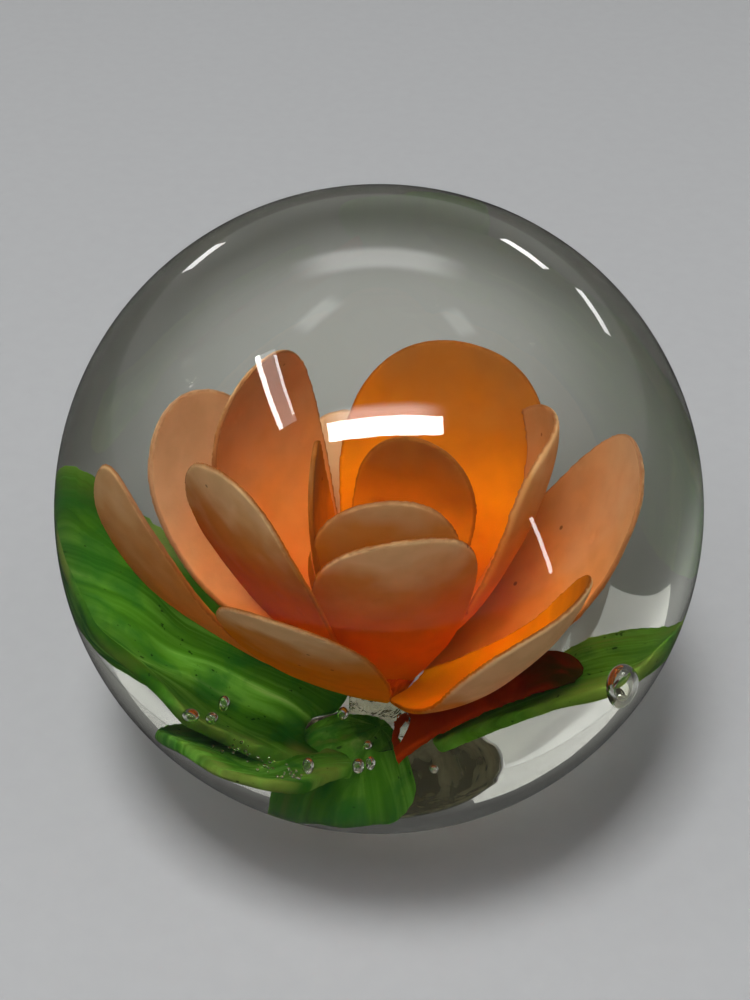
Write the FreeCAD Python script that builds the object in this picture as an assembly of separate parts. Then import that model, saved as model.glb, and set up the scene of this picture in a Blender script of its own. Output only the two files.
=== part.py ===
import FreeCAD, Part
import os
from collections import namedtuple
from math import asin, degrees, sqrt

# Glass paperweight: a ball of clear glass with a flat foot, and a lampwork flower sealed inside it.
# Millimetres. The origin is the centre of the foot, +Z is up, and the flower faces -Y.
# Azimuths are measured around +Z from +X towards +Y.

# Driving dimensions
BALL_RADIUS = 40.0
CENTRE_HEIGHT = 34.0        # ball centre above the foot
FOOT_EDGE_RADIUS = 1.2      # the ground foot's rounded edge
SEAM_HEIGHT = 8.0           # where the lower gather ends and the upper one starts

PETAL_THICKNESS = 0.5
PETAL_NECK = 0.32           # width where the petal joins the bud, as a share of its full width
PETAL_SHOULDER = 0.62       # where the petal is widest, as a share of its length
TRAIL_NECK = 0.8
TRAIL_SHOULDER = 0.45
LEAF_THICKNESS = 1.2
LEAF_NECK = 0.45
LEAF_SHOULDER = 0.55
TIP_FULLNESS = 0.62         # 0.55 makes an elliptical tip, more makes it squarer

BUD_RADIUS = 3.2
BUD_TOP = CENTRE_HEIGHT - 12.5
BUD_BOTTOM = CENTRE_HEIGHT - 18.5
STEM_RADIUS = 2.3
HUB_RADIUS = 5.0
HUB_SHIFT = -2.5            # the hub sits to the left of the stem
HUB_TOP = CENTRE_HEIGHT - 21.0

# A petal or leaf is a spoon: it bows along its length, cups across its width, and stands on a ring
# round the axis. Lean is the angle of its chord above the horizontal, and roll turns it about its chord.
Spoon = namedtuple("Spoon", "name azimuth lean roll length width bow cup")
Whorl = namedtuple("Whorl", "ring_radius height spoons")

INNER_WHORL = Whorl(1.5, CENTRE_HEIGHT - 14.8, [
    Spoon("inner_petal_back", 60, 71, 10, 18, 10.5, 24, 30),
    Spoon("inner_petal_left", 186, 79, -12, 22, 10, 50, 30),
    Spoon("inner_petal_front", 277, 78, -3, 21, 13, 40, 18),
])
MIDDLE_WHORL = Whorl(2.4, CENTRE_HEIGHT - 16.0, [
    Spoon("middle_petal_back_right", 66, 50, 8, 24.5, 16.5, 50, 30),
    Spoon("middle_petal_back_left", 128, 60, 9, 25.5, 12.5, 20, 24),
    Spoon("middle_petal_left", 207, 63, 11, 29, 15.5, 45, 45),
    Spoon("middle_petal_front", 281, 68, 0, 23, 14.5, 60, 15),
    Spoon("middle_petal_right", 31, 53, -28, 23.5, 14, 24, 10),
])
OUTER_WHORL = Whorl(3.4, CENTRE_HEIGHT - 16.5, [
    Spoon("outer_petal_back_left", 137, 41, -2, 23.5, 13, 22, 25),
    Spoon("outer_petal_left", 190, 49, 24, 33.5, 10.5, 36, 40),
    Spoon("outer_petal_front_left", 243, 47, 0, 27, 15.5, 60, 30),
    Spoon("outer_petal_front_right", -42, 41, 8, 26, 15, 32, 12),
    Spoon("outer_petal_right", 15, 43, 2, 25.5, 14.5, 32, 38),
    Spoon("outer_petal_back", 99, 30, -4, 19, 9, 60, 25),
])
# A lick of orange glass drawn out from the stem over the right leaf. Its roll turns it into an arch.
TRAIL = Whorl(1.0, CENTRE_HEIGHT - 22.2, [
    Spoon("trailing_petal", 2, 22, 180, 15.5, 7, 17, 9),
])
LEAVES = Whorl(4.0, CENTRE_HEIGHT - 22.4, [
    Spoon("leaf_left", 164, 37, 6, 33, 22, 36, 30),
    Spoon("leaf_right", 6, 25, -4, 27, 7, 160, 20),
    Spoon("leaf_front", 207, 14, 0, 14.5, 13, 40, 30),
])

# Air bubbles in the clear glass: position from the ball's centre, then radius.
BUBBLES = [
    ((20.0, -6.0, -14.0), 1.5),
    ((-15.2, -7.0, -15.9), 0.7),
    ((-13.4, -6.5, -16.4), 0.5),
    ((-5.8, -10.5, -18.5), 0.5),
    ((-1.7, -10.5, -18.5), 0.5),
    ((4.5, -11.0, -18.5), 0.4),
]

UP = FreeCAD.Vector(0, 0, 1)


def at(x, y, z):
    return FreeCAD.Vector(x, y, z)


def bezier(*poles):
    curve = Part.BezierCurve()
    curve.setPoles(list(poles))
    return curve.toShape()


def outline_side(spoon, neck, shoulder, side):
    """The edges of one long side, from the neck to the tip. Side is 1 or -1."""
    half = side * spoon.width / 2
    root = half * neck
    widest = spoon.length * shoulder
    to_tip = spoon.length - widest
    swell = bezier(
        at(0, root, 0),
        at(widest / 3, root + (half - root) / 2, 0),
        at(widest * 2 / 3, half, 0),
        at(widest, half, 0),
    )
    tip = bezier(
        at(widest, half, 0),
        at(widest + to_tip * TIP_FULLNESS, half, 0),
        at(spoon.length, half * TIP_FULLNESS, 0),
        at(spoon.length, 0, 0),
    )
    return [swell, tip]


def outline_prism(spoon, neck, shoulder):
    """The spoon's outline seen square on, extruded through its whole depth."""
    left = outline_side(spoon, neck, shoulder, 1)
    right = outline_side(spoon, neck, shoulder, -1)
    root = Part.makeLine(left[0].Vertexes[0].Point, right[0].Vertexes[0].Point)
    wire = Part.Wire(Part.__sortEdges__(left + right + [root]))
    depth = spoon.length
    face = Part.Face(wire).translated(at(0, 0, -depth))
    return face.extrude(at(0, 0, 2 * depth))


def sagitta(radius, chord):
    return radius - sqrt(radius**2 - chord**2 / 4)


def curved_sheet(spoon, thickness):
    """A sheet of even thickness that bows along X and cups across Y, with its root at the origin."""
    margin = 1.0
    dip = sagitta(spoon.bow, spoon.length)
    centre = at(spoon.length / 2, 0, spoon.bow - dip)
    reach = spoon.length / 2 + margin

    def arc(radius):
        drop = sqrt(radius**2 - reach**2)
        start = centre + at(-reach, 0, -drop)
        middle = centre + at(0, 0, -radius)
        end = centre + at(reach, 0, -drop)
        return Part.Arc(start, middle, end).toShape()

    outer = arc(spoon.bow + thickness / 2)
    inner = arc(spoon.bow - thickness / 2)
    ends = [Part.makeLine(outer.Vertexes[i].Point, inner.Vertexes[i].Point) for i in (0, 1)]
    face = Part.Face(Part.Wire(Part.__sortEdges__([outer, inner] + ends)))
    hinge = at(0, 0, spoon.cup - dip)
    narrowest = spoon.cup - sagitta(spoon.bow, 2 * reach) - thickness
    half_angle = degrees(asin(min(0.98, spoon.width / 2 / narrowest)))
    axis = at(1, 0, 0)
    return face.rotated(hinge, axis, -half_angle).revolve(hinge, axis, 2 * half_angle)


def place(shape, spoon, ring_radius, height):
    """Move a spoon from its own frame to its place on the whorl."""
    turn = FreeCAD.Rotation(UP, spoon.azimuth)
    lean = FreeCAD.Rotation(at(0, 1, 0), -spoon.lean)
    roll = FreeCAD.Rotation(at(1, 0, 0), spoon.roll)
    root = turn.multVec(at(ring_radius, 0, 0)) + at(0, 0, height)
    shape.Placement = FreeCAD.Placement(root, turn * lean * roll)
    return shape


def make_spoon(spoon, whorl, thickness, neck, shoulder):
    sheet = curved_sheet(spoon, thickness)
    shape = sheet.common(outline_prism(spoon, neck, shoulder))
    return place(shape, spoon, whorl.ring_radius, whorl.height)


def largest_solid(shape):
    return max(shape.Solids, key=lambda solid: solid.Volume)


def without(shape, others):
    """Cut away what other pieces already fill, and keep the main piece."""
    near = [other for other in others if shape.BoundBox.intersect(other.BoundBox)]
    if near:
        shape = shape.cut(near)
    return largest_solid(shape)


def make_bud():
    """The lump that the petals are fused to: an ellipsoid of revolution."""
    half = (BUD_TOP - BUD_BOTTOM) / 2
    ball = Part.makeSphere(1.0)
    stretch = FreeCAD.Matrix()
    stretch.scale(BUD_RADIUS, BUD_RADIUS, half)
    return ball.transformGeometry(stretch).translated(at(0, 0, BUD_BOTTOM + half))


def make_hub():
    """A low dome of green glass on the lower gather."""
    rise = HUB_TOP - SEAM_HEIGHT
    dome_radius = (HUB_RADIUS**2 + rise**2) / (2 * rise)
    dome = Part.makeSphere(dome_radius, at(HUB_SHIFT, 0, HUB_TOP - dome_radius))
    slab = Part.makeCylinder(HUB_RADIUS + 1, rise + 1, at(HUB_SHIFT, 0, SEAM_HEIGHT))
    return dome.common(slab)


def make_stem():
    """The short rod between the hub and the bud, running into both."""
    overlap = 1.0
    bottom = HUB_TOP - overlap
    return Part.makeCylinder(STEM_RADIUS, BUD_BOTTOM + overlap - bottom, at(0, 0, bottom))


def make_flower():
    """Every piece sealed in the glass, by node name. Each one gives way to those made before it."""
    pieces = {}

    def add(name, shape):
        pieces[name] = without(shape, list(pieces.values()))

    add("flower_core", make_bud())
    add("leaf_hub", make_hub())
    add("flower_stem", make_stem())
    for whorl in (INNER_WHORL, MIDDLE_WHORL, OUTER_WHORL):
        for petal in whorl.spoons:
            add(petal.name, make_spoon(petal, whorl, PETAL_THICKNESS, PETAL_NECK, PETAL_SHOULDER))
    for petal in TRAIL.spoons:
        add(petal.name, make_spoon(petal, TRAIL, PETAL_THICKNESS, TRAIL_NECK, TRAIL_SHOULDER))
    for leaf in LEAVES.spoons:
        add(leaf.name, make_spoon(leaf, LEAVES, LEAF_THICKNESS, LEAF_NECK, LEAF_SHOULDER))
    return pieces


def make_ball():
    """The ball with its foot ground flat and the foot's edge rounded."""
    ball = Part.makeSphere(BALL_RADIUS, at(0, 0, CENTRE_HEIGHT))
    size = 2 * BALL_RADIUS
    ball = ball.common(Part.makeBox(2 * size, 2 * size, size, at(-size, -size, 0)))
    rim = [edge for edge in ball.Edges if abs(edge.BoundBox.ZMax) < 0.01]
    return ball.makeFillet(FOOT_EDGE_RADIUS, rim)


def make_glass(flower):
    """The two clear gathers. The upper one takes in the flower and the bubbles."""
    ball = make_ball()
    size = 2 * BALL_RADIUS
    below = Part.makeBox(2 * size, 2 * size, SEAM_HEIGHT + size, at(-size, -size, -size))
    centre = at(0, 0, CENTRE_HEIGHT)
    bubbles = [Part.makeSphere(radius, centre + at(*position)) for position, radius in BUBBLES]
    casing = ball.cut(below).cut(list(flower.values()) + bubbles)
    return {"glass_casing": largest_solid(casing), "glass_base": largest_solid(ball.common(below))}


def main():
    os.makedirs("parts", exist_ok=True)
    flower = make_flower()
    for name, shape in {**make_glass(flower), **flower}.items():
        shape.exportStep(os.path.join("parts", name + ".step"))
        print(f"{name:28s} volume {shape.Volume:10.1f}  valid {shape.isValid()}")


main()
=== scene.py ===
from collections import namedtuple
from math import asin, atan, cos, pi, radians, sin, sqrt

import bmesh
import bpy
import numpy as np
from mathutils import Matrix, Vector, bvhtree, kdtree, noise


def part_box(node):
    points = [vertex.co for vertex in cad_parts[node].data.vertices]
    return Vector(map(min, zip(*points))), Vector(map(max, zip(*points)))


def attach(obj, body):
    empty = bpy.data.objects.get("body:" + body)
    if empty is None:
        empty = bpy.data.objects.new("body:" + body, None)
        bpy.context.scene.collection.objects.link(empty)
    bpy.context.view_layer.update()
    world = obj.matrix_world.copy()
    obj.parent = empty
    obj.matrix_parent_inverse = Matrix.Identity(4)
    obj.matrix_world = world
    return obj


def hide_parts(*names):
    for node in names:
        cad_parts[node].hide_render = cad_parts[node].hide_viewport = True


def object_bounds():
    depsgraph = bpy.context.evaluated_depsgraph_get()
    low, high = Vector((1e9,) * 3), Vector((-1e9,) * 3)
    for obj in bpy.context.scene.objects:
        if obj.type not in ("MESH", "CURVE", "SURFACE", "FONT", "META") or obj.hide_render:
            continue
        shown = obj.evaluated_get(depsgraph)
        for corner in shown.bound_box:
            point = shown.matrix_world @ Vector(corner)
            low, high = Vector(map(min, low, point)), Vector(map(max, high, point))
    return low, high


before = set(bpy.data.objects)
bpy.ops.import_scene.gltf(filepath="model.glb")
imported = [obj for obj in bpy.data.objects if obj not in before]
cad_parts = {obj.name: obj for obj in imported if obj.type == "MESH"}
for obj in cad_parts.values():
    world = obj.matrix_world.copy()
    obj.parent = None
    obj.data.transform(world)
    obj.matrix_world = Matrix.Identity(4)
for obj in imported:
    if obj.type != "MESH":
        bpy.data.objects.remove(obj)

# A glass paperweight with a lampwork flower sealed inside. Metres, in the CAD model's own frame:
# the origin is the centre of the foot, +Z is up and the flower faces -Y.
# Azimuths of lights are measured round the ball from -Y towards +X, in degrees.

CAD_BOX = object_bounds()
MM = 0.001

# The ball, read from the CAD model
BALL_RADIUS = (CAD_BOX[1].x - CAD_BOX[0].x) / 2
CENTRE = Vector((0, 0, CAD_BOX[1].z - BALL_RADIUS))
BUD = (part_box("flower_core")[0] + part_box("flower_core")[1]) / 2
HUB = (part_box("leaf_hub")[0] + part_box("leaf_hub")[1]) / 2

# Mesh fineness
GLASS_SEGMENTS = 256
GLASS_RINGS = 180
FOOT_EDGE_RADIUS = 1.2 * MM
PETAL_VOXEL = 0.16 * MM
PETAL_THICKNESS = 0.5 * MM
LEAF_VOXEL = 0.28 * MM
LEAF_THICKNESS = 1.2 * MM
SHEET_SMOOTHING = 9
ROOT_SHARE = 0.06               # this share of a sheet's length is its root, which has no free margin

# Unless it is seeded, noise_vector takes its offsets from the clock and every run differs.
NOISE_SEED = 7
noise.seed_set(NOISE_SEED)

# Unevenness of the sheets: how broad its waves are, then how high. The seeds tell the pieces apart.
PETAL_WAVE = (9 * MM, 0.35 * MM)
TRAIL_WAVE = (5 * MM, 0.5 * MM)
LEAF_WAVE = (6 * MM, 0.9 * MM)
HUB_WAVE = (4 * MM, 0.5 * MM)
TRAIL_SEED = 30
LEAF_SEED = 40
HUB_SEED = 60

# Photographic view, in units of which the frame is 750 wide
CAMERA_ELEVATION = 40.0
FRAME_WIDTH = 750.0
BALL_ON_FRAME = 325.0           # radius of the ball
FOCAL_ON_FRAME = 1500.0
SHIFT_ON_FRAME = (-4.0, 9.0)    # the frame's centre from the ball's
SENSOR_WIDTH = 36.0

PETALS = [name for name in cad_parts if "_petal_" in name]
TRAIL = "trailing_petal"
LEAVES = [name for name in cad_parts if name.startswith("leaf_") and name != "leaf_hub"]

# How pale a petal or leaf gets: 0 leaves the colour alone, 1 makes a petal's tip peach
PALLOR = {
    "outer_petal_back_left": 1.1,
    "outer_petal_right": 0.6,
    "outer_petal_back": 1.0,
    "middle_petal_back_left": 0.5,
    "middle_petal_right": 0.3,
    "outer_petal_left": 0.4,
    "leaf_right": 0.15,
}
# How much sooner on its way to the tip a petal's outer face turns pale, as a share of its length
FROST = {
    "outer_petal_front_right": 0.42,
    "outer_petal_front_left": 0.1,
    "middle_petal_front": 0.12,
    "middle_petal_left": 0.1,
}
# How much of the inner face's deeper orange the outer face has too
WARMTH = {
    "inner_petal_left": 0.9,
    "inner_petal_back": 0.9,
    "inner_petal_front": 0.4,
}

# Bubbles in millimetres: place from the ball's centre, radius, and stretch along Z
Bubble = namedtuple("Bubble", "place radius stretch")
BUBBLES = [
    Bubble((20.0, -6.0, -14.0), 1.5, 1.4),
    Bubble((-15.2, -7.0, -15.9), 0.7, 0.8),
    Bubble((-13.4, -6.5, -16.4), 0.5, 1.0),
    Bubble((-12.4, -5.6, -15.6), 0.45, 1.5),
    Bubble((-5.8, -10.5, -18.5), 0.5, 1.5),
    Bubble((-1.7, -10.5, -18.5), 0.5, 1.3),
    Bubble((-0.7, -10.0, -18.5), 0.4, 1.5),
    Bubble((-0.9, -7.0, -18.6), 0.35, 1.0),
    Bubble((4.5, -11.0, -18.5), 0.35, 1.0),
    Bubble((-2.9, -6.0, -16.4), 0.45, 1.2),
]

# The finest bubbles, scattered in millimetres round a line along the front leaf's edge
FINE_BUBBLE_LINE = ((-12.5, -6.0, -18.6), (-6.5, -13.0, -18.4))
FINE_BUBBLE_SCATTER = (0.5, 0.5, 0.35)
FINE_BUBBLE_RADII = (0.06, 0.16)
FINE_BUBBLE_COUNT = 46
FINE_BUBBLE_SEED = 7

# Rectangular lights. Distance, width and height are in metres. A soft one fades towards its edges.
Panel = namedtuple("Panel", "name azimuth elevation distance width height radiance soft", defaults=[False])
# These light the scene and don't mirror in the glass.
SOFTBOXES = [
    Panel("overhead_key", -40.0, 81.0, 1.5, 0.42, 0.42, 45.0),
    Panel("left_fill", -62.0, 60.0, 1.5, 1.0, 0.9, 2.9),
    Panel("right_fill", 60.0, 58.0, 1.5, 0.9, 0.7, 1.8),
]
# These are seen only as reflections on the glass.
HIGHLIGHTS = [
    Panel("ceiling_strip", 5.0, 66.5, 1.14, 0.74, 0.13, 30.0),
    Panel("back_panel", -180.0, 48.0, 1.45, 1.15, 0.36, 2.6, soft=True),
    Panel("high_panel_left", -138.0, 65.0, 1.15, 0.36, 0.16, 2.0, soft=True),
    Panel("high_panel_right", 128.0, 62.0, 1.15, 0.26, 0.16, 1.6, soft=True),
    Panel("ceiling_glow", 5.0, 69.0, 1.16, 0.86, 0.24, 7.0, soft=True),
    Panel("left_window", -82.0, 58.5, 1.3, 0.62, 0.13, 3.0),
    Panel("left_window_bright", -82.0, 55.8, 1.29, 0.62, 0.035, 22.0),
    Panel("left_window_edge", -82.0, 61.0, 1.29, 0.50, 0.02, 12.0),
    Panel("right_window", 56.0, 13.0, 1.3, 0.03, 0.42, 14.0),
    Panel("right_streak", 153.0, 16.0, 1.3, 0.22, 0.06, 8.0),
    Panel("far_right_streak", 138.0, 10.0, 1.3, 0.26, 0.05, 6.0),
    Panel("left_rim", -154.0, 4.0, 1.3, 0.16, 0.08, 4.0),
]
FADE_SHARE = 0.3                # share of a soft panel's side over which it fades

# The room's brightness from straight down, 0, to straight up, 1
ROOM_LIGHT = [(0.0, 0.03), (0.49, 0.03), (0.505, 0.26), (0.56, 0.20), (0.65, 0.06), (1.0, 0.05)]


# ---------------------------------------------------------------- materials

class Graph:
    """A material's node tree, with short calls for the nodes used here."""

    def __init__(self, name):
        self.material = bpy.data.materials.new(name)
        self.material.use_nodes = True
        self.tree = self.material.node_tree
        self.tree.nodes.clear()

    def feed(self, socket, value):
        if isinstance(value, bpy.types.NodeSocket):
            self.tree.links.new(value, socket)
        else:
            socket.default_value = value

    def node(self, kind, inputs=None, **settings):
        node = self.tree.nodes.new("ShaderNode" + kind)
        for key, value in settings.items():
            setattr(node, key, value)
        for key, value in (inputs or {}).items():
            self.feed(node.inputs[key], value)
        return node

    def math(self, operation, a, b):
        return self.node("Math", {0: a, 1: b}, operation=operation).outputs[0]

    def span(self, value, low, high, to_low=0.0, to_high=1.0):
        """Value mapped from low..high to to_low..to_high, and held there outside."""
        limits = {"Value": value, "From Min": low, "From Max": high, "To Min": to_low, "To Max": to_high}
        return self.node("MapRange", limits, interpolation_type="SMOOTHSTEP").outputs[0]

    def mix(self, factor, a, b):
        """The Mix node's sockets 6 and 7 are its colours, and its output 2 is the mixed colour."""
        return self.node("Mix", {0: factor, 6: a, 7: b}, data_type="RGBA").outputs[2]

    def ramp(self, value, stops):
        node = self.node("ValToRGB", {"Fac": value})
        set_stops(node, stops)
        return node.outputs[0]

    def attribute(self, name):
        return self.node("Attribute", attribute_name=name).outputs["Fac"]

    def position(self):
        return self.node("TexCoord").outputs["Object"]

    def noise(self, size, detail=3.0, distortion=0.0):
        """Noise whose features are about size metres across."""
        values = {"Vector": self.position(), "Scale": 1 / size, "Detail": detail, "Distortion": distortion}
        return self.node("TexNoise", values).outputs["Fac"]

    def bump(self, height, strength, distance):
        return self.node("Bump", {"Height": height, "Strength": strength, "Distance": distance}).outputs[0]

    def output(self, shader):
        self.node("OutputMaterial", {"Surface": shader})
        return self.material


def set_stops(ramp_node, stops):
    """Give a colour ramp its stops, each a position and a colour."""
    elements = ramp_node.color_ramp.elements
    while len(elements) < len(stops):
        elements.new(0.5)
    for element, (position, colour) in zip(elements, stops):
        element.position = position
        element.color = colour


def rgb(red, green, blue):
    """Screen values 0 to 255 as a scene-linear colour."""
    return tuple((value / 255) ** 2.2 for value in (red, green, blue)) + (1.0,)


def clear_glass():
    """Clear, faintly grey-green glass with weak striae. The ground foot is slightly frosted."""
    g = Graph("clear_glass")
    striae = g.noise(14 * MM, detail=1.5, distortion=1.2)
    tint = g.mix(g.span(striae, 0.35, 0.65), rgb(246, 248, 235), rgb(249, 250, 239))
    glass = g.node("BsdfPrincipled", {
        "Base Color": tint,
        "Roughness": 0.0,
        "IOR": 1.5,
        "Transmission Weight": 1.0,
        "Normal": g.bump(striae, 0.02, 1 * MM),
    })
    height = g.node("SeparateXYZ", {"Vector": g.position()}).outputs["Z"]
    scuffs = g.span(g.noise(1.2 * MM, detail=5.0, distortion=2.0), 0.3, 0.7, 0.08, 0.2)
    frosting = g.math("MULTIPLY", g.span(height, 0.02 * MM, 0.2 * MM, 1.0, 0.0), scuffs)
    frost = g.node("BsdfDiffuse", {"Color": rgb(156, 150, 118)})
    foot = g.node("MixShader", {0: frosting, 1: glass.outputs[0], 2: frost.outputs[0]})
    return g.output(foot.outputs[0])


def stem_glass():
    """A nearly clear rod: inside the ball only a slight change of glass shows."""
    g = Graph("stem_glass")
    swirl = g.noise(1.6 * MM, detail=2.0, distortion=2.0)
    tint = g.mix(g.span(swirl, 0.35, 0.65), rgb(214, 212, 190), rgb(238, 236, 222))
    glass = g.node("BsdfPrincipled", {
        "Base Color": tint,
        "Roughness": 0.0,
        "IOR": 1.06,
        "Transmission Weight": 1.0,
        "Normal": g.bump(swirl, 0.3, 0.4 * MM),
    })
    return g.output(glass.outputs[0])


def coloured_glass(g, colour, normal, translucency):
    """Coloured glass inside clear glass: no gloss of its own, and some light comes through it."""
    body = g.node("BsdfPrincipled", {
        "Base Color": colour,
        "Roughness": 0.7,
        "Specular IOR Level": 0.0,
        "Normal": normal,
    })
    through = g.node("BsdfTranslucent", {"Color": colour, "Normal": normal})
    return g.node("MixShader", {0: translucency, 1: body.outputs[0], 2: through.outputs[0]}).outputs[0]


def petal_glass():
    """Orange at the root, peach at the tip and paler outside, with a thin brown line round the margin."""
    g = Graph("petal_glass")
    drift = g.span(g.noise(5 * MM, detail=2.0), 0.3, 0.7, -0.06, 0.06)
    along = g.math("ADD", g.attribute("along"), drift)
    inner = g.ramp(along, [
        (0.00, rgb(220, 130, 0)),
        (0.25, rgb(248, 118, 0)),
        (0.50, rgb(254, 142, 18)),
        (0.75, rgb(210, 118, 30)),
        (1.00, rgb(178, 116, 58)),
    ])
    outer = g.ramp(g.math("ADD", along, g.attribute("frost")), [
        (0.00, rgb(228, 156, 16)),
        (0.35, rgb(230, 132, 8)),
        (0.64, rgb(208, 124, 22)),
        (0.84, rgb(212, 148, 78)),
        (1.00, rgb(236, 196, 146)),
    ])
    colour = g.mix(g.attribute("inside"), outer, inner)
    pale_tip = g.math("MULTIPLY", g.attribute("pallor"), g.span(along, 0.15, 1.0, 0.15, 0.8))
    colour = g.mix(pale_tip, colour, rgb(250, 204, 156))
    cloud = g.span(g.noise(2.2 * MM, detail=3.0), 0.35, 0.7, 0.0, 0.12)
    colour = g.mix(cloud, colour, rgb(150, 84, 36))
    rim = g.span(g.attribute("rim"), 0.06 * MM, 0.26 * MM, 1.0, 0.0)
    colour = g.mix(g.math("MULTIPLY", rim, 0.5), colour, rgb(130, 58, 14))
    spots = g.node("TexVoronoi", {"Vector": g.position(), "Scale": 1 / (3.2 * MM)}).outputs["Distance"]
    speck = g.span(spots, 0.04, 0.07, 1.0, 0.0)
    colour = g.mix(g.math("MULTIPLY", speck, 0.6), colour, rgb(92, 40, 18))
    pits = g.node("TexVoronoi", {"Vector": g.position(), "Scale": 1 / (4.6 * MM)}).outputs["Distance"]
    dimple = g.span(pits, 0.05, 0.16, 0.0, 1.0)
    relief = g.math("ADD", dimple, g.noise(3 * MM, detail=2.0))
    return g.output(coloured_glass(g, colour, g.bump(relief, 0.35, 0.25 * MM), 0.3))


def bud_glass():
    """The deep orange lump at the petals' roots."""
    g = Graph("bud_glass")
    swirl = g.noise(1.5 * MM, detail=3.0, distortion=1.5)
    colour = g.ramp(swirl, [(0.3, rgb(180, 78, 0)), (0.7, rgb(230, 108, 6))])
    return g.output(coloured_glass(g, colour, g.bump(swirl, 0.3, 0.2 * MM), 0.3))


def trail_glass():
    """The dark orange lick of glass that runs from the stem out over the right leaf."""
    g = Graph("trail_glass")
    swirl = g.noise(3 * MM, detail=3.0, distortion=1.0)
    along = g.math("ADD", g.attribute("along"), g.span(swirl, 0.3, 0.7, -0.1, 0.1))
    colour = g.ramp(along, [
        (0.00, rgb(190, 66, 0)),
        (0.45, rgb(170, 56, 0)),
        (0.80, rgb(120, 40, 4)),
        (1.00, rgb(66, 52, 10)),
    ])
    return g.output(coloured_glass(g, colour, g.bump(swirl, 0.4, 0.3 * MM), 0.3))


def leaf_glass():
    """Streaky green glass, yellower and thinner towards its margins."""
    g = Graph("leaf_glass")
    streaks = g.node("CombineXYZ", {
        "X": g.math("MULTIPLY", g.attribute("along"), 1.6),
        "Y": g.math("MULTIPLY", g.attribute("across"), 9.0),
    }).outputs[0]
    fibre = g.node("TexNoise", {
        "Vector": streaks, "Scale": 1.0, "Detail": 5.0, "Distortion": 1.6,
    }).outputs["Fac"]
    colour = g.ramp(fibre, [
        (0.25, rgb(50, 100, 12)),
        (0.45, rgb(84, 148, 36)),
        (0.62, rgb(120, 184, 66)),
        (0.80, rgb(176, 212, 112)),
    ])
    cloud = g.span(g.noise(4 * MM, detail=4.0, distortion=1.0), 0.45, 0.7, 0.0, 0.7)
    colour = g.mix(cloud, colour, rgb(44, 120, 42))
    feather = g.math("ADD", g.attribute("rim"), g.span(fibre, 0.3, 0.7, -1.2 * MM, 1.2 * MM))
    patch = g.span(g.noise(7 * MM, detail=1.0), 0.45, 0.62)
    margin = g.math("MULTIPLY", g.span(feather, 0.0, 2.2 * MM, 0.5, 0.0), patch)
    colour = g.mix(margin, colour, rgb(178, 188, 92))
    colour = g.mix(g.attribute("pallor"), colour, rgb(176, 220, 70))
    speck = g.span(g.noise(0.7 * MM, detail=2.0), 0.68, 0.74)
    colour = g.mix(g.math("MULTIPLY", speck, 0.7), colour, rgb(14, 40, 12))
    return g.output(coloured_glass(g, colour, g.bump(fibre, 0.5, 0.5 * MM), 0.35))


def floor_paint():
    """The plain pale surface that the paperweight stands on."""
    g = Graph("floor_paint")
    grain = g.noise(3 * MM, detail=4.0)
    colour = g.mix(grain, rgb(143, 144, 145), rgb(148, 149, 150))
    board = g.node("BsdfPrincipled", {
        "Base Color": colour,
        "Roughness": 0.5,
        "Specular IOR Level": 0.3,
        "Normal": g.bump(grain, 0.05, 0.2 * MM),
    })
    return g.output(board.outputs[0])


# ---------------------------------------------------------------- mesh helpers

def add_piece(name, mesh, material, nodes):
    """Show a mesh in place of the CAD nodes that it stands for."""
    piece = bpy.data.objects.new(name, mesh)
    bpy.context.scene.collection.objects.link(piece)
    mesh.materials.clear()
    mesh.materials.append(material)
    mesh.polygons.foreach_set("use_smooth", [True] * len(mesh.polygons))
    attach(piece, "root")
    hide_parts(*nodes)
    return piece


def remeshed(node, voxel, smoothing):
    """A CAD node's shape as an even quad mesh with softened edges."""
    work = bpy.data.objects.new("work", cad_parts[node].data.copy())
    bpy.context.scene.collection.objects.link(work)
    remesh = work.modifiers.new("remesh", "REMESH")
    remesh.mode = "VOXEL"
    remesh.voxel_size = voxel
    smooth = work.modifiers.new("smooth", "SMOOTH")
    smooth.iterations = smoothing
    depsgraph = bpy.context.evaluated_depsgraph_get()
    mesh = bpy.data.meshes.new_from_object(work.evaluated_get(depsgraph))
    bpy.data.objects.remove(work)
    return mesh


def read_vertices(mesh):
    points = np.empty(len(mesh.vertices) * 3)
    normals = np.empty_like(points)
    mesh.vertices.foreach_get("co", points)
    mesh.vertices.foreach_get("normal", normals)
    return points.reshape(-1, 3), normals.reshape(-1, 3)


def store(mesh, name, values):
    """Save one number per vertex for the materials to read."""
    mesh.attributes.new(name, "FLOAT", "POINT").data.foreach_set("value", values.astype(np.float32))


def store_evenly(mesh, name, value):
    store(mesh, name, np.full(len(mesh.vertices), value))


def sheet_axes(points, root):
    """Along, across and inner-face directions of a petal or leaf that grows from root."""
    centre = points.mean(axis=0)
    _, _, axes = np.linalg.svd(points[::7] - centre, full_matrices=False)
    inner = axes[2]
    towards_axis = np.array([-centre[0], -centre[1], 0.0])
    facing = towards_axis / np.linalg.norm(towards_axis) + np.array([0.0, 0.0, 1.0])
    if inner @ facing < 0:
        inner = -inner
    along = centre - np.array(root)
    along -= inner * (along @ inner)
    along /= np.linalg.norm(along)
    return along, np.cross(inner, along), inner


def evened(mesh, values, rounds):
    """Vertex values averaged with their neighbours' a few times over."""
    ends = np.empty(len(mesh.edges) * 2, dtype=np.int32)
    mesh.edges.foreach_get("vertices", ends)
    first, second = ends.reshape(-1, 2).T
    count = np.bincount(ends, minlength=len(values)) + 1.0
    for _ in range(rounds):
        total = values.copy()
        np.add.at(total, first, values[second])
        np.add.at(total, second, values[first])
        values = total / count
    return values


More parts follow.
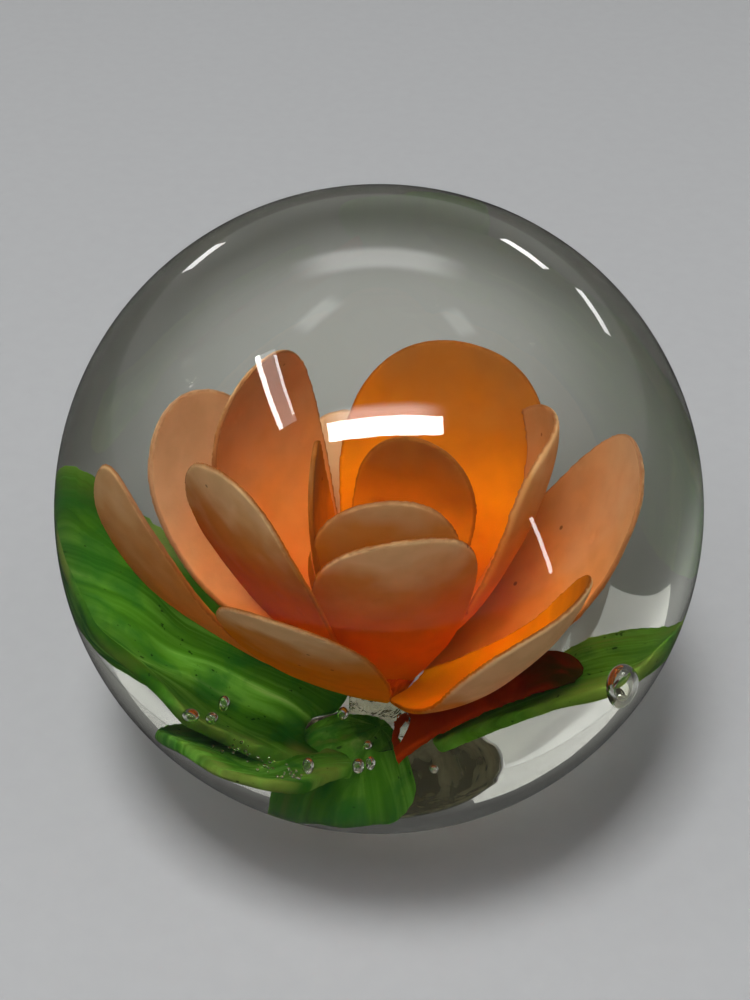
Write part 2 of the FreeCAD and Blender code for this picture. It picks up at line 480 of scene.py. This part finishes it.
def margin_distance(mesh, points, normals, along, thickness):
    """Each vertex's distance to the sheet's free margin. The root end doesn't count."""
    tree = bvhtree.BVHTree.FromPolygons(
        [Vector(p) for p in points], [p.vertices for p in mesh.polygons])
    skin = 0.05 * MM
    reach = 1.3 * thickness
    margin = []
    for index, (point, normal) in enumerate(zip(points, normals)):
        if along[index] < ROOT_SHARE:
            continue
        hit = tree.ray_cast(Vector(point - normal * skin), Vector(-normal), reach)
        if hit[0] is None:
            margin.append(index)
    lookup = kdtree.KDTree(len(margin))
    for index in margin:
        lookup.insert(points[index], index)
    lookup.balance()
    distance = np.array([lookup.find(point)[2] for point in points])
    return evened(mesh, distance, rounds=3)


def ripple(mesh, points, size, height, seed):
    """Push the sheet about by smooth noise, both faces together."""
    shift = Vector((seed * 3.7, seed * 1.3, seed * 2.1))
    moved = [Vector(p) + noise.noise_vector(Vector(p) / size + shift) * height for p in points]
    mesh.vertices.foreach_set("co", np.array(moved).ravel())
    mesh.update()


def shaped_sheet(node, root, voxel, thickness, wave, seed):
    """A petal or leaf as a softened, slightly uneven sheet that carries its own coordinates."""
    mesh = remeshed(node, voxel, SHEET_SMOOTHING)
    points, normals = read_vertices(mesh)
    along_axis, across_axis, inner = sheet_axes(points, root)
    along = points @ along_axis
    along = (along - along.min()) / (along.max() - along.min())
    across = points @ across_axis
    across = (across - across.min()) / (across.max() - across.min())
    store(mesh, "along", along)
    store(mesh, "across", across)
    store(mesh, "inside", np.clip(0.5 + 4 * (normals @ inner), WARMTH.get(node, 0.0), 1))
    store(mesh, "rim", margin_distance(mesh, points, normals, along, thickness))
    store_evenly(mesh, "pallor", PALLOR.get(node, 0.0))
    store_evenly(mesh, "frost", FROST.get(node, 0.0))
    ripple(mesh, points, *wave, seed)
    return mesh


# ---------------------------------------------------------------- pieces

def glass_profile():
    """Half outline of the ball, from the middle of the foot to the top."""
    foot_centre = FOOT_EDGE_RADIUS - CENTRE.z
    reach = sqrt((BALL_RADIUS - FOOT_EDGE_RADIUS) ** 2 - foot_centre ** 2)
    start = asin(foot_centre / (BALL_RADIUS - FOOT_EDGE_RADIUS))
    flat = [(reach * share, 0.0) for share in (0.0, 0.25, 0.5, 0.75, 0.9, 0.97)]
    edge_steps = 10
    turn = [-pi / 2 + (start + pi / 2) * step / edge_steps for step in range(edge_steps + 1)]
    edge = [(reach + FOOT_EDGE_RADIUS * cos(a), FOOT_EDGE_RADIUS * (1 + sin(a))) for a in turn]
    rise = [start + (pi / 2 - start) * step / GLASS_RINGS for step in range(1, GLASS_RINGS + 1)]
    wall = [(BALL_RADIUS * cos(a), CENTRE.z + BALL_RADIUS * sin(a)) for a in rise]
    wall[-1] = (0.0, CENTRE.z + BALL_RADIUS)
    return flat + edge + wall


def spin(bm, profile, segments):
    """Faces of the profile turned round Z, closed at both ends."""
    rings = []
    for radius, height in profile:
        count = 1 if radius == 0 else segments
        turns = [2 * pi * step / segments for step in range(count)]
        rings.append([bm.verts.new((radius * cos(a), radius * sin(a), height)) for a in turns])
    for lower, upper in zip(rings, rings[1:]):
        for step in range(segments):
            ahead = (step + 1) % segments
            # At a pole two corners are the same vertex, and fromkeys keeps one of them.
            corners = [lower[step % len(lower)], lower[ahead % len(lower)],
                       upper[ahead % len(upper)], upper[step % len(upper)]]
            bm.faces.new(dict.fromkeys(corners))


def add_bubble(bm, centre, radius, stretch, subdivisions):
    """A void in the glass, so its faces look inwards."""
    placing = Matrix.Translation(centre) @ Matrix.Diagonal((1.0, 1.0, stretch, 1.0))
    made = bmesh.ops.create_icosphere(bm, subdivisions=subdivisions, radius=radius, matrix=placing)
    faces = {face for vertex in made["verts"] for face in vertex.link_faces}
    bmesh.ops.reverse_faces(bm, faces=list(faces))


def fine_bubbles():
    rng = np.random.default_rng(FINE_BUBBLE_SEED)
    start, end = np.array(FINE_BUBBLE_LINE)
    for _ in range(FINE_BUBBLE_COUNT):
        share = rng.random()
        spot = start + (end - start) * share + rng.normal(0, FINE_BUBBLE_SCATTER)
        yield Bubble(spot, rng.uniform(*FINE_BUBBLE_RADII), 1.0)


def make_glass():
    """The whole clear ball, both gathers fused, with its bubbles."""
    bm = bmesh.new()
    spin(bm, glass_profile(), GLASS_SEGMENTS)
    bmesh.ops.recalc_face_normals(bm, faces=bm.faces)
    for bubbles, subdivisions in ((BUBBLES, 4), (fine_bubbles(), 2)):
        for bubble in bubbles:
            centre = CENTRE + Vector(bubble.place) * MM
            add_bubble(bm, centre, bubble.radius * MM, bubble.stretch, subdivisions)
    mesh = bpy.data.meshes.new("clear_ball")
    bm.to_mesh(mesh)
    bm.free()
    return add_piece("clear_ball", mesh, clear_glass(), ["glass_casing", "glass_base"])


def make_petals():
    """Every petal of the three whorls, all of one glass."""
    material = petal_glass()
    for seed, node in enumerate(sorted(PETALS)):
        mesh = shaped_sheet(node, BUD, PETAL_VOXEL, PETAL_THICKNESS, PETAL_WAVE, seed)
        add_piece(node + "_shaped", mesh, material, [node])


def make_trail():
    """The dark lick of glass over the right leaf."""
    mesh = shaped_sheet(TRAIL, HUB, PETAL_VOXEL, PETAL_THICKNESS, TRAIL_WAVE, TRAIL_SEED)
    add_piece(TRAIL + "_shaped", mesh, trail_glass(), [TRAIL])


def make_leaves():
    """The three leaves and the lump that they grow from."""
    material = leaf_glass()
    for seed, node in enumerate(sorted(LEAVES)):
        mesh = shaped_sheet(node, HUB, LEAF_VOXEL, LEAF_THICKNESS, LEAF_WAVE, LEAF_SEED + seed)
        add_piece(node + "_shaped", mesh, material, [node])
    mesh = shaped_hub()
    add_piece("leaf_hub_shaped", mesh, material, ["leaf_hub"])


def shaped_hub():
    """The softened hub, with streaks that run outwards from the axis."""
    mesh = remeshed("leaf_hub", LEAF_VOXEL, smoothing=8)
    points, _ = read_vertices(mesh)
    turn = np.arctan2(points[:, 1], points[:, 0])
    distance = np.hypot(points[:, 0], points[:, 1])
    store(mesh, "along", distance / distance.max())
    store(mesh, "across", turn / (2 * pi))
    store_evenly(mesh, "rim", 2 * MM)
    store_evenly(mesh, "pallor", 0.0)
    ripple(mesh, points, *HUB_WAVE, HUB_SEED)
    return mesh


def make_core():
    """The bud, and the nearly clear stem under it."""
    mesh = remeshed("flower_core", PETAL_VOXEL, smoothing=4)
    add_piece("flower_core_shaped", mesh, bud_glass(), ["flower_core"])
    mesh = remeshed("flower_stem", PETAL_VOXEL, smoothing=6)
    add_piece("flower_stem_shaped", mesh, stem_glass(), ["flower_stem"])


# ---------------------------------------------------------------- stage, light and view

def make_floor():
    """Just under the foot, so that the ground face mirrors the inside as real glass on a table does."""
    half = 3.0
    gap = 0.3 * MM
    corners = [(-half, -half, -gap), (half, -half, -gap), (half, half, -gap), (-half, half, -gap)]
    mesh = bpy.data.meshes.new("floor")
    mesh.from_pydata(corners, [], [(0, 1, 2, 3)])
    mesh.materials.append(floor_paint())
    floor = bpy.data.objects.new("floor", mesh)
    bpy.context.scene.collection.objects.link(floor)
    floor.visible_glossy = False


def direction(azimuth, elevation):
    """Unit vector from the ball towards a light or the camera."""
    a, e = radians(azimuth), radians(elevation)
    return Vector((sin(a) * cos(e), -cos(a) * cos(e), sin(e)))


def fade_out(light):
    """Let a panel's light fade towards its edges.

    Parametric runs from 0 to 1 along each side, and PINGPONG folds it into the distance from the nearer end.
    """
    light.use_nodes = True
    tree = light.node_tree
    split = tree.nodes.new("ShaderNodeSeparateXYZ")
    tree.links.new(tree.nodes.new("ShaderNodeNewGeometry").outputs["Parametric"], split.inputs[0])
    level = None
    for axis in "XY":
        inset = tree.nodes.new("ShaderNodeMath")
        inset.operation = "PINGPONG"
        inset.inputs[1].default_value = 0.5
        tree.links.new(split.outputs[axis], inset.inputs[0])
        rise = tree.nodes.new("ShaderNodeMapRange")
        rise.interpolation_type = "SMOOTHSTEP"
        rise.inputs["From Max"].default_value = FADE_SHARE
        tree.links.new(inset.outputs[0], rise.inputs["Value"])
        if level:
            tree.links.new(level, rise.inputs["To Max"])
        level = rise.outputs[0]
    tree.links.new(level, tree.nodes["Emission"].inputs["Strength"])


def add_panel(panel):
    """A rectangular light that faces the ball."""
    light = bpy.data.lights.new(panel.name, "AREA")
    light.shape = "RECTANGLE"
    light.size = panel.width
    light.size_y = panel.height
    light.energy = panel.radiance * panel.width * panel.height * pi
    if panel.soft:
        fade_out(light)
    towards = direction(panel.azimuth, panel.elevation)
    holder = bpy.data.objects.new(panel.name, light)
    holder.location = CENTRE + towards * panel.distance
    holder.rotation_euler = towards.to_track_quat("Z", "Y").to_euler()
    bpy.context.scene.collection.objects.link(holder)
    return holder


def make_lights():
    """Softboxes for the light itself, and panels for the highlights on the glass."""
    for panel in SOFTBOXES:
        add_panel(panel).visible_glossy = False
    for panel in HIGHLIGHTS:
        highlight = add_panel(panel)
        highlight.visible_diffuse = False
        highlight.visible_transmission = False


def make_world():
    """Soft room light, brightest in a low band just above the horizon."""
    world = bpy.data.worlds.new("room")
    world.use_nodes = True
    tree = world.node_tree
    background = tree.nodes["Background"]
    coordinates = tree.nodes.new("ShaderNodeTexCoord")
    split = tree.nodes.new("ShaderNodeSeparateXYZ")
    ramp = tree.nodes.new("ShaderNodeValToRGB")
    set_stops(ramp, [(height, (level, level * 0.99, level, 1.0)) for height, level in ROOM_LIGHT])
    tree.links.new(coordinates.outputs["Generated"], split.inputs[0])
    height = tree.nodes.new("ShaderNodeMapRange")
    height.inputs["From Min"].default_value = -1.0
    tree.links.new(split.outputs["Z"], height.inputs["Value"])
    tree.links.new(height.outputs[0], ramp.inputs[0])
    tree.links.new(ramp.outputs[0], background.inputs[0])
    background.inputs[1].default_value = 1.0
    bpy.context.scene.world = world


def make_camera():
    """Looks down at the ball's centre from close by, with the ball a little off the middle of the frame."""
    data = bpy.data.cameras.new("camera")
    data.sensor_fit = "HORIZONTAL"
    data.sensor_width = SENSOR_WIDTH
    data.lens = SENSOR_WIDTH * FOCAL_ON_FRAME / FRAME_WIDTH
    data.shift_x = SHIFT_ON_FRAME[0] / FRAME_WIDTH
    data.shift_y = SHIFT_ON_FRAME[1] / FRAME_WIDTH
    data.clip_start = 0.01
    camera = bpy.data.objects.new("camera", data)
    towards = direction(0.0, CAMERA_ELEVATION)
    distance = BALL_RADIUS / sin(atan(BALL_ON_FRAME / FOCAL_ON_FRAME))
    camera.location = CENTRE + towards * distance
    camera.rotation_euler = towards.to_track_quat("Z", "Y").to_euler()
    bpy.context.scene.collection.objects.link(camera)
    bpy.context.scene.camera = camera


make_camera()
make_world()
make_lights()
make_floor()
make_glass()
make_core()
make_petals()
make_trail()
make_leaves()
bpy.context.scene.view_settings.view_transform = "Standard"
